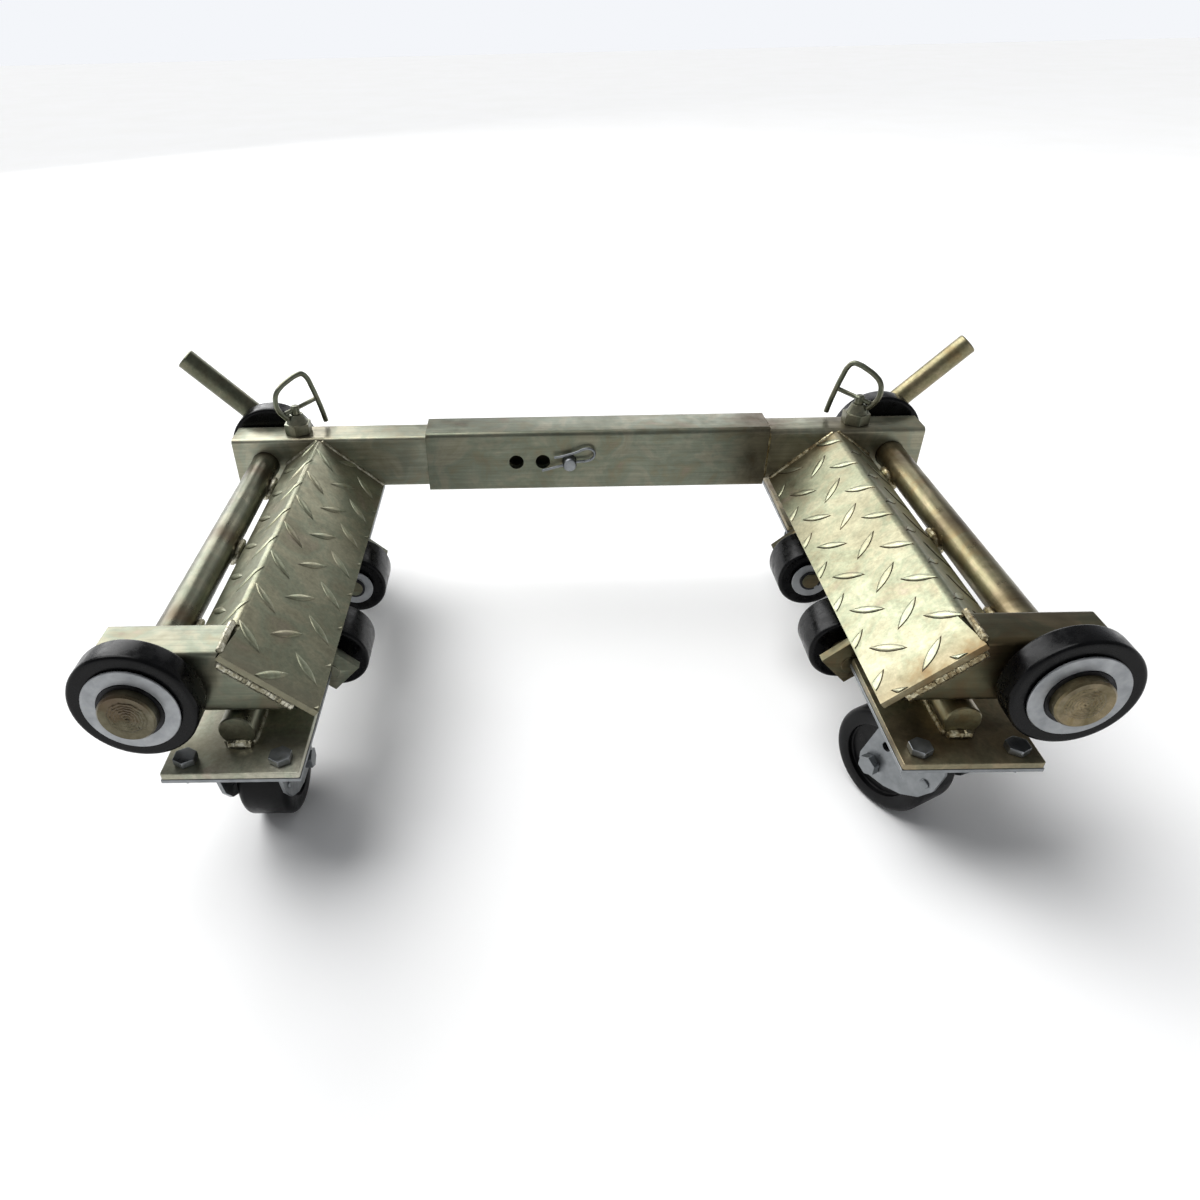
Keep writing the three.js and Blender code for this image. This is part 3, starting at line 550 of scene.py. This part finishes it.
def tread_bar(lean, along, depth, front, rear):
    """One pointed lens of the tread with a steep rim, trimmed to the plate."""
    bm = bmesh.new()
    bmesh.ops.create_uvsphere(bm, u_segments=16, v_segments=8, radius=1.0)
    half_length, half_width = millimetres("tread_length") / 2, millimetres("tread_width") / 2
    for vert in bm.verts:
        ring = round(math.degrees(math.asin(max(-1.0, min(1.0, vert.co.z)))) / 22.5)
        share, rise = BAR_STEPS[abs(ring)]
        flat = Vector((vert.co.x, vert.co.y)).normalized() * share if share else Vector((0.0, 0.0))
        taper = max(0.0, 1 - abs(flat.x / max(share, 0.01)) ** 2) ** 0.5
        height = rise * millimetres("tread_height") if ring >= 0 else -rise
        vert.co = (flat.x * half_length, flat.y * taper * half_width, height)
    # The low faces of each bar take the second finish, a painted rim: painted shade on the right arm, painted
    # highlight on the left.
    for face in bm.faces:
        face.material_index = int(max(v.co.z for v in face.verts) < 0.7 * millimetres("tread_height"))
    bmesh.ops.rotate(bm, matrix=Matrix.Rotation(math.radians(lean), 3, "Z"), verts=bm.verts)
    bmesh.ops.translate(bm, vec=(along, depth, 0), verts=bm.verts)
    for place, normal in (((INNER_LENGTH - 1.5, 0, 0), (1, 0, 0)), ((1.5 - OUTER_LENGTH, 0, 0), (-1, 0, 0)),
                          ((0, rear - 1.5, 0), (0, 1, 0)), ((0, front + 1.5, 0), (0, -1, 0))):
        everything = bm.verts[:] + bm.edges[:] + bm.faces[:]
        bmesh.ops.bisect_plane(bm, geom=everything, plane_co=place, plane_no=normal, clear_outer=True)
    bmesh.ops.holes_fill(bm, edges=[edge for edge in bm.edges if edge.is_boundary], sides=0)
    for vert in bm.verts:
        vert.co = on_plate(vert.co)
    return bm


def tread(side):
    """All raised bars of one arm, on both slopes."""
    bars = bmesh.new()
    for lean, first_along, first_depth, pitch_along, pitch_depth in TREAD[side]:
        for i in range(-3, 3):
            along = first_along + i * pitch_along
            for j in range(-1, 8):
                depth = first_depth - j * pitch_depth
                outer = along < 0
                front = BLOCK_BACK if outer else RAMP_FRONT
                inside = front - 10 < depth < 8 and -OUTER_LENGTH - 8 < along < INNER_LENGTH + 8
                if inside:
                    absorb(bars, tread_bar(lean, along, depth, front, -0.4))
    return bars


def gather(*parts):
    """Several bmeshes as one."""
    whole = bmesh.new()
    for part in parts:
        absorb(whole, part)
    return whole


def slope_line(first, last, depth, lift=0.0):
    """Two ends of a line across the plate from one distance to another, at a depth."""
    return [on_plate((first, depth, lift)), on_plate((last, depth, lift))]


def tube_outline(x, y0, y1, z0, z1, corner=5.0):
    """Corners of a path round a square tube, with its corners cut."""
    return [(x, y0 + corner, z1), (x, y1 - corner, z1), (x, y1, z1 - corner), (x, y1, z0 + corner),
            (x, y1 - corner, z0), (x, y0 + corner, z0), (x, y0, z0 + corner), (x, y0, z1 - corner),
            (x, y0 + corner, z1)]


class DOLLY_OT_crossbar(bpy.types.Operator):
    """Builds the sleeve, both tubes, the lock pin and its clip"""
    bl_idname = "dolly.crossbar"
    bl_label = "Crossbar"

    def execute(self, context):
        cut_steel("sleeve", "sleeve", 1.0)
        for side in SIDES:
            cut_steel(side + "_cross_tube", "bar", 1.0)
        joint = bead(tube_outline(214.8, 0.6, 39.4, -59.4, -0.6), 6.0, 11)
        show(joint, "sleeve_weld", "right_weld", "right_arm")
        head = [(0, -17), (5.4, -17), (6.8, -16.4), (7.6, -15), (7.6, 46.5), (11.6, 46.5), (12.8, 47.3),
                (13, 48.5), (13, 52), (12.3, 53.6), (10.8, 54.5), (0, 54.5)]
        pin = lathe(head, (PIN_X, 0, PIN_Z), steps=64)
        show(pin, "lock_pin_turned", "caster", "lock_pin", ("lock_pin",))
        spring = [(-32, 0), (-20, 0), (-8, 0), (4, 0), (12, -0.6), (20, -2), (27, 0), (30, 5.2),
                  (27, 10.5), (20, 12.6), (12, 11.3), (4, 10.8), (-8, 10.8), (-15, 11.6)]
        cosine, sine = math.cos(CLIP_TILT), math.sin(CLIP_TILT)
        path = [(PIN_X + t * cosine - n * sine, -11.0, PIN_Z + t * sine + n * cosine) for t, n in spring]
        show(sweep(path, CLIP_WIRE_RADIUS), "pin_clip_wire", "caster", "pin_clip", ("pin_clip",))
        return {"FINISHED"}


class DOLLY_OT_arms(bpy.types.Operator):
    """Builds both bent tread plates with their end blocks, roller brackets and welds"""
    bl_idname = "dolly.arms"
    bl_label = "Ramp arms"

    def execute(self, context):
        for side, sign in SIDES.items():
            arm = side + "_arm"
            self.plate(side, arm)
            # The tread bars carry a painted rim at their foot: painted shade on the right arm, painted
            # highlight on the left.
            show(tread(side), side + "_tread_bars", side + "_tread", arm, side=sign,
                 second=side + "_tread_rim")
            cut_steel(side + "_end_block", side + "_block", 1.0)
            for end in ENDS:
                cut_steel(f"{side}_{end}_roller_bracket", side + "_block", 1.0)
            show(self.welds(sign), side + "_arm_welds", side + "_weld", arm, side=sign)
        return {"FINISHED"}

    def plate(self, side, arm):
        """The bent plate, with the outside of its bend rounded."""
        bm = cad_copy(side + "_ramp")
        ridge = SHOP_TO_FRAME @ Vector((RIDGE.x * SIDES[side], BLOCK_BACK, 0))
        fold = [edge for edge in bm.edges
                if all(abs(v.co.x - ridge.x) < 1e-4 and abs(v.co.z - ridge.z) < 1e-4
                       and v.co.y > ridge.y - 1e-3 for v in edge.verts)]
        bmesh.ops.bevel(bm, geom=fold, offset=RIDGE_TANGENT / 1000, offset_type="OFFSET", segments=8,
                        profile=0.5, affect="EDGES", material=-1)
        show(bm, side + "_ramp_plate", side + "_ramp", arm, (side + "_ramp",), 0.7, to_frame=False)

    def welds(self, sign):
        """The beads that hold plate, block and bar together; laid out for the right arm."""
        width = millimetres("weld_width")
        seed = 31 if sign > 0 else 47
        heavy = [Vector((293.0, BLOCK_FRONT - 1.2, -9.0)), Vector((241.5, BLOCK_FRONT - 1.2, -53.5))]
        runs = [
            bead(heavy, 1.3 * width, seed),
            bead([(289.6, BLOCK_FRONT + 1, 0.3), (289.6, BLOCK_BACK, 0.3)], 0.9 * width, seed + 1),
            bead(slope_line(0.0, -OUTER_LENGTH + 1, BLOCK_BACK + 0.6, 0.4), 1.1 * width, seed + 2),
            bead(slope_line(INNER_LENGTH - 1, 3.0, -1.2, 0.2), 0.7 * width, seed + 3),
            bead(slope_line(-2.0, -OUTER_LENGTH + 1, -1.2, 0.2), 0.7 * width, seed + 4),
        ]
        for y in BRACKET_Y:
            for side_y in (y - 0.5, y + 9.5):
                runs.append(bead([(227.9, side_y, -62.1), (239.9, side_y, -51.6)], 0.7 * width,
                                 seed + 6 + int(side_y)))
        return gather(*runs)


class DOLLY_OT_plungers(bpy.types.Operator):
    """Builds the release plungers with their wire pulls"""
    bl_idname = "dolly.plungers"
    bl_label = "Release plungers"

    def execute(self, context):
        ring = [(34, 5), (31, 20), (27.5, 34), (23.5, 48), (19, 60), (14.5, 64.4), (8, 64.2), (-2, 60.5),
                (-12, 55), (-18, 49), (-20.5, 41), (-19.5, 31), (-15, 23.5), (-10, 18)]
        for side, sign in SIDES.items():
            plunger = side + "_plunger"
            cut_steel(side + "_plunger_body", "hardware", 0.6)
            cut_steel(side + "_plunger_pin", "hardware", 0.0)
            path = [(PLUNGER_X - u * math.cos(PULL_TURN), PLUNGER_Y + u * math.sin(PULL_TURN), z)
                    for u, z in ring]
            show(sweep(path, PULL_WIRE_RADIUS, sides=5), side + "_pull_wire", "hardware", plunger,
                 (side + "_pull_ring",), side=sign)
        return {"FINISHED"}


# ---------------------------------------------------------------- carriages

def hub_profile():
    """The turned pivot bar: journals at both ends and a weld crater in the front face."""
    crater = [(0, -431.2), (6, -431.0), (11, -431.6), (14, -433.0), (17.5, -433.4), (20.5, -434.0)]
    return crater + [(22, -432.6), (22, -394.0), (15, -394.0), (15, 40.6), (22, 40.6), (22, 95.6),
                     (20.6, 97), (0, 97)]


def weld_puddle(sign):
    """The spiral of weld that fills the crater in the front face of a journal."""
    turns = [(1.2 + 0.24 * i, 0.62 * i) for i in range(58)]
    points = [(PIVOT_X + r * math.cos(a), -431.4, PIVOT_Z + r * math.sin(a)) for r, a in turns]
    return bead(points, 4.8, sign + 12)


class DOLLY_OT_carriages(bpy.types.Operator):
    """Builds the swinging pivot rods, levers, lower bars, carrier plates and their welds"""
    bl_idname = "dolly.carriages"
    bl_label = "Swinging carriages"

    def execute(self, context):
        for side, sign in SIDES.items():
            body = side + "_carriage"
            rod = gather(lathe(hub_profile(), (PIVOT_X, 0, PIVOT_Z)), weld_puddle(sign))
            show(rod, side + "_pivot_bar", side + "_rod", body, (side + "_pivot_rod",), side=sign)
            reach = LEVER_LENGTH / math.sqrt(2)
            lever = bar_between((PIVOT_X + 14, LEVER_Y, PIVOT_Z + 14),
                                (PIVOT_X + reach, LEVER_Y, PIVOT_Z + reach), LEVER_RADIUS, chamfer=1.3)
            show(lever, side + "_lever", side + "_rod", body, (side + "_lever_stub",), side=sign)
            bars = [bar_between((LOWER_BAR_X, -400, LOWER_BAR_Z), (LOWER_BAR_X, 47, LOWER_BAR_Z), 15.0)]
            for y in LUG_Y:
                bars.append(bar_between((LOWER_BAR_X, y, LOWER_BAR_Z), (344, y, -38), 11.0, chamfer=0.1))
            show(gather(*bars), side + "_lower_bar", side + "_rod", body, (side + "_swing_frame",), side=sign)
            show(self.plates(), side + "_carrier_plates", side + "_carrier", body,
                 (side + "_swing_frame",), millimetres("edge_radius"), side=sign)
            show(self.welds(sign), side + "_carriage_welds", side + "_weld", body, side=sign)
        return {"FINISHED"}

    def plates(self):
        """Two flat plates under the lower bar, with their corners eased."""
        both = bmesh.new()
        for end in ENDS:
            bm = bmesh.new()
            bmesh.ops.create_cube(bm, size=1.0)
            bmesh.ops.scale(bm, vec=(110, 135, 6), verts=bm.verts)
            upright = [e for e in bm.edges if abs(e.verts[0].co.z - e.verts[1].co.z) > 1]
            bmesh.ops.bevel(bm, geom=upright, offset=2.0, offset_type="OFFSET", segments=3, profile=0.5,
                            affect="EDGES", material=-1)
            bmesh.ops.translate(bm, vec=(CASTER_X, CASTER_Y[end], CASTER_TOP + 3), verts=bm.verts)
            absorb(both, bm)
        return both

    def welds(self, sign):
        """Rings round the lugs and lever, and beads along the lower bar; laid out for the right."""
        width = millimetres("weld_width")
        seed = 71 if sign > 0 else 97
        rod_face = Vector((PIVOT_X - 13.2, 0, PIVOT_Z - 9.3))
        bar_face = Vector((LOWER_BAR_X + 13.0, 0, LOWER_BAR_Z + 7.9))
        runs = []
        for i, y in enumerate(LUG_Y):
            for j, face in enumerate((rod_face, bar_face)):
                ring = ring_points(face + Vector((0, y, 0)), 11.4, (54, 0, 37.5))
                runs.append(bead(ring, 0.95 * width, seed + 2 * i + j))
        lever_root = (PIVOT_X + 16.0, LEVER_Y, PIVOT_Z + 16.0)
        ring = [Vector((p.x, min(p.y, 93.0), p.z)) for p in ring_points(lever_root, 12.2, (1, 0, 1))]
        runs.append(bead(ring, 0.8 * width, seed + 10))
        for x in (LOWER_BAR_X - 10.5, LOWER_BAR_X + 10.5):
            runs.append(bead([(x, -399, -88.2), (x, -299, -88.2)], width, seed + int(x)))
            runs.append(bead([(x, -55, -88.2), (x, 46, -88.2)], width, seed + 2 * int(x)))
        runs.append(bead([(LOWER_BAR_X - 10, -400.5, -87.5), (LOWER_BAR_X, -401.5, -86.5),
                          (LOWER_BAR_X + 10, -400.5, -87.5)], 1.2 * width, seed + 11))
        return gather(*runs)


# ---------------------------------------------------------------- rollers

def tyre(radius, bore, y0, width, edge):
    """A solid roller with rounded shoulders and a slightly dished face."""
    profile = [(bore, y0 + 0.6), (radius * 0.72, y0 + 0.6), (radius - edge - 1.5, y0)]
    for i in range(7):
        angle = math.radians(15 * i)
        profile.append((radius - edge + edge * math.sin(angle), y0 + edge - edge * math.cos(angle)))
    for i in range(7):
        angle = math.radians(90 - 15 * i)
        profile.append((radius - edge + edge * math.sin(angle), y0 + width - edge + edge * math.cos(angle)))
    profile += [(radius - edge - 1.5, y0 + width), (radius * 0.72, y0 + width - 0.6),
                (bore, y0 + width - 0.6), (bore, y0 + 0.6)]
    return profile


def flat_ring(inner, outer, y0, thick, edge=0.5):
    """A washer's section with eased rims."""
    return [(inner, y0), (outer - edge, y0), (outer, y0 + edge), (outer, y0 + thick - edge),
            (outer - edge, y0 + thick), (inner, y0 + thick), (inner, y0)]


def snap_ring(inner, outer, y0, thick, centre, opening=26.0):
    """An external circlip: an open ring with a gap between its two ends."""
    section = [(inner, y0), (outer, y0), (outer, y0 + thick), (inner, y0 + thick), (inner, y0)]
    ring = lathe(section, (0, 0, 0), steps=64, angle=math.radians(360 - opening))
    bmesh.ops.holes_fill(ring, edges=[edge for edge in ring.edges if edge.is_boundary], sides=0)
    bmesh.ops.rotate(ring, matrix=Matrix.Rotation(math.radians(60), 3, "Y"), verts=ring.verts)
    bmesh.ops.translate(ring, vec=centre, verts=ring.verts)
    return ring


class DOLLY_OT_rollers(bpy.types.Operator):
    """Builds the four large and four small rollers with their washers and circlips"""
    bl_idname = "dolly.rollers"
    bl_label = "Rollers"

    def execute(self, context):
        for side, sign in SIDES.items():
            carriage, arm = side + "_carriage", side + "_arm"
            pivot, small = (PIVOT_X, 0, PIVOT_Z), (SMALL_X, 0, SMALL_Z)
            for end, y0, washer_y, clip_y in (("front", -422.0, -424.7, -425.9),
                                              ("rear", 42.5, 67.0, 69.2)):
                wheel = lathe(tyre(BIG_RADIUS, 22.5, y0, BIG_WIDTH, 3.2), pivot, steps=128)
                show(wheel, f"{side}_{end}_tyre", "roller", f"{side}_{end}_big_wheel",
                     (f"{side}_{end}_roller",), side=sign)
                washer = lathe(flat_ring(25.5, 37.0, washer_y, 2.2), pivot)
                show(washer, f"{side}_{end}_face_washer", "washer", carriage,
                     (f"{side}_{end}_washer",), side=sign)
                ring = snap_ring(22.2, 25.1, clip_y, 1.6, pivot)
                show(ring, f"{side}_{end}_snap_ring", "clip", carriage, (f"{side}_{end}_circlip",),
                     side=sign)
            for end, y0, face in (("front", -271.5, -226.1), ("rear", -148.0, -151.0)):
                wheel = lathe(tyre(SMALL_RADIUS, 9.2, y0, SMALL_WIDTH, 3.0), small)
                show(wheel, f"{side}_{end}_small_tyre", "roller", f"{side}_{end}_small_wheel",
                     (f"{side}_{end}_mid_roller",), side=sign)
                washer = lathe(flat_ring(8.7, 19.0, face, 1.6, 0.4), small, steps=72)
                show(washer, f"{side}_{end}_small_washer", "washer", arm, side=sign)
                clip_y = face + 1.7 if end == "front" else face - 1.3
                ring = snap_ring(8.3, 10.8, clip_y, 1.2, small)
                show(ring, f"{side}_{end}_small_snap_ring", "clip", arm, side=sign)
        return {"FINISHED"}


# ---------------------------------------------------------------- casters

def swivelled(bm, side, end):
    """Turns a caster part made on the swivel axis to its resting yaw, and puts it in place."""
    turn = Matrix.Rotation(math.radians(CASTER_TURN[f"{side}_{end}"]), 3, "Z")
    bmesh.ops.rotate(bm, matrix=turn, verts=bm.verts)
    place = (CASTER_X * SIDES[side], CASTER_Y[end], CASTER_TOP)
    bmesh.ops.translate(bm, vec=place, verts=bm.verts)
    return bm


class DOLLY_OT_casters(bpy.types.Operator):
    """Builds the four swivel casters"""
    bl_idname = "dolly.casters"
    bl_label = "Casters"

    def execute(self, context):
        tread_profile = [(6.6, -23.9), (12.4, -23.9), (13, -23.3), (14, -17), (33, -17), (34, -18),
                         (34.6, -21.6), (35.4, -22), (44, -22)]
        for i in range(7):
            angle = math.radians(15 * i)
            tread_profile.append((44 + 6 * math.sin(angle), -16 - 6 * math.cos(angle)))
        whole = tread_profile + [(radius, -along) for radius, along in reversed(tread_profile)]
        whole.append(whole[0])
        for side in SIDES:
            for end in ENDS:
                name = f"{side}_{end}_caster"
                fork = f"{side}_{end}_fork"
                cut_steel(name + "_plate", "caster", 0.5)
                cut_steel(name + "_fork", "caster", 1.1)
                cut_steel(name + "_axle", "caster", 0.6)
                wheel = lathe(whole, (CASTER_TRAIL, 0, CASTER_AXLE), steps=112)
                show(swivelled(wheel, side, end), name + "_tyre", "wheel", f"{side}_{end}_wheel",
                     (name + "_wheel",))
                rivets = [self.rivet(28.4 * way) for way in (-1, 1)]
                show(swivelled(gather(*rivets), side, end), name + "_fork_rivets", "caster", fork)
        return {"FINISHED"}

    def rivet(self, across):
        """A low round rivet head on a fork leg."""
        bm = bmesh.new()
        bmesh.ops.create_cone(bm, cap_ends=True, segments=28, radius1=4.4, radius2=4.4, depth=2.8)
        rims = [e for e in bm.edges if abs(e.verts[0].co.z - e.verts[1].co.z) < 0.1]
        bmesh.ops.bevel(bm, geom=rims, offset=1.0, offset_type="OFFSET", segments=3, profile=0.5,
                        affect="EDGES", material=-1)
        bmesh.ops.rotate(bm, matrix=Matrix.Rotation(math.pi / 2, 3, "X"), verts=bm.verts)
        bmesh.ops.translate(bm, vec=(-24.0, across, -50.0), verts=bm.verts)
        return bm


# ---------------------------------------------------------------- stage

class DOLLY_OT_stage(bpy.types.Operator):
    """Lays the paper sweep and sets the lights and the camera"""
    bl_idname = "dolly.stage"
    bl_label = "Stage"

    def execute(self, context):
        scene = context.scene
        bm = bmesh.new()
        bmesh.ops.create_grid(bm, x_segments=1, y_segments=1, size=12.0)
        mesh = bpy.data.meshes.new("Floor")
        bm.to_mesh(mesh)
        bm.free()
        floor = bpy.data.objects.new("Floor", mesh)
        scene.collection.objects.link(floor)
        mesh.materials.append(FINISH["floor"])
        lamps = [self.lamp("Key light", (-2.0, 2.9, 1.9), (0.1, 0.0, 0.15), 2.4, 88.0),
                 self.lamp("Back light", (0.6, 3.4, 1.5), (0.0, 0.1, 0.2), 1.6, 16.0),
                 self.sun("Overhead light", (-0.5, 0.25, 1.0), 2.55)]
        scene.world = self.surround(tuple(scene.dolly_colours.sky))
        camera = bpy.data.cameras.new("Camera")
        camera.lens = 26.33
        camera.sensor_width = 36.0
        camera.shift_x = 0.0615
        camera.shift_y = 0.029
        holder = bpy.data.objects.new("Camera", camera)
        holder.location = (-0.04734, -0.75351, 0.61749)
        holder.rotation_euler = [math.radians(a) for a in (53.7117, 1.1366, 0.0655)]
        scene.collection.objects.link(holder)
        scene.camera = holder
        scene.view_settings.view_transform = "Standard"
        return {"FINISHED"}

    def surround(self, sky):
        """A studio all round: a white band at the horizon and a darker ceiling."""
        world = bpy.data.worlds.new("Studio surround")
        world.use_nodes = True
        tree = world.node_tree
        direction = add(tree, "ShaderNodeTexCoord").outputs["Generated"]
        height = add(tree, "ShaderNodeSeparateXYZ", {0: direction}).outputs[2]
        dim = tuple(0.26 * c for c in sky[:3]) + (1.0,)
        tone = colour_band(tree, height, [(0.0, sky), (0.1, sky), (0.22, dim), (1.0, dim)])
        tree.links.new(tone, tree.nodes["Background"].inputs["Color"])
        return world

    def sun(self, name, toward, strength):
        """A wide soft light from one direction, the same everywhere."""
        light = bpy.data.lights.new(name, "SUN")
        light.energy = strength
        light.angle = math.radians(50)
        holder = bpy.data.objects.new(name, light)
        holder.rotation_euler = Vector(toward).to_track_quat("Z", "Y").to_euler()
        bpy.context.scene.collection.objects.link(holder)
        return holder

    def lamp(self, name, place, target, size, power):
        """A square soft light aimed at a point."""
        light = bpy.data.lights.new(name, "AREA")
        light.size = size
        light.energy = power
        holder = bpy.data.objects.new(name, light)
        holder.location = place
        holder.rotation_euler = (Vector(target) - Vector(place)).to_track_quat("-Z", "Y").to_euler()
        bpy.context.scene.collection.objects.link(holder)
        return holder


OPERATORS = (DOLLY_OT_crossbar, DOLLY_OT_arms, DOLLY_OT_plungers, DOLLY_OT_carriages,
             DOLLY_OT_rollers, DOLLY_OT_casters, DOLLY_OT_stage)


class DOLLY_PT_parts(bpy.types.Panel):
    """Lists the builders and their settings in the sidebar"""
    bl_idname = "DOLLY_PT_parts"
    bl_label = "Wheel dolly"
    bl_space_type = "VIEW_3D"
    bl_region_type = "UI"
    bl_category = "Dolly"

    def draw(self, context):
        for operator in OPERATORS:
            self.layout.operator(operator.bl_idname)
        for group in (context.scene.dolly_sizes, context.scene.dolly_colours):
            for name in group.bl_rna.properties.keys():
                if name not in ("rna_type", "name"):
                    self.layout.prop(group, name)


CLASSES = (DollySizes, DollyColours, *OPERATORS, DOLLY_PT_parts)


def register():
    for kind in CLASSES:
        bpy.utils.register_class(kind)
    bpy.types.Scene.dolly_sizes = bpy.props.PointerProperty(type=DollySizes)
    bpy.types.Scene.dolly_colours = bpy.props.PointerProperty(type=DollyColours)


def unregister():
    del bpy.types.Scene.dolly_colours
    del bpy.types.Scene.dolly_sizes
    for kind in reversed(CLASSES):
        bpy.utils.unregister_class(kind)


def main():
    register()
    FINISH.update(make_finishes())
    bpy.ops.dolly.crossbar()
    bpy.ops.dolly.arms()
    bpy.ops.dolly.plungers()
    bpy.ops.dolly.carriages()
    bpy.ops.dolly.rollers()
    bpy.ops.dolly.casters()
    bpy.ops.dolly.stage()


if __name__ == "__main__":
    main()
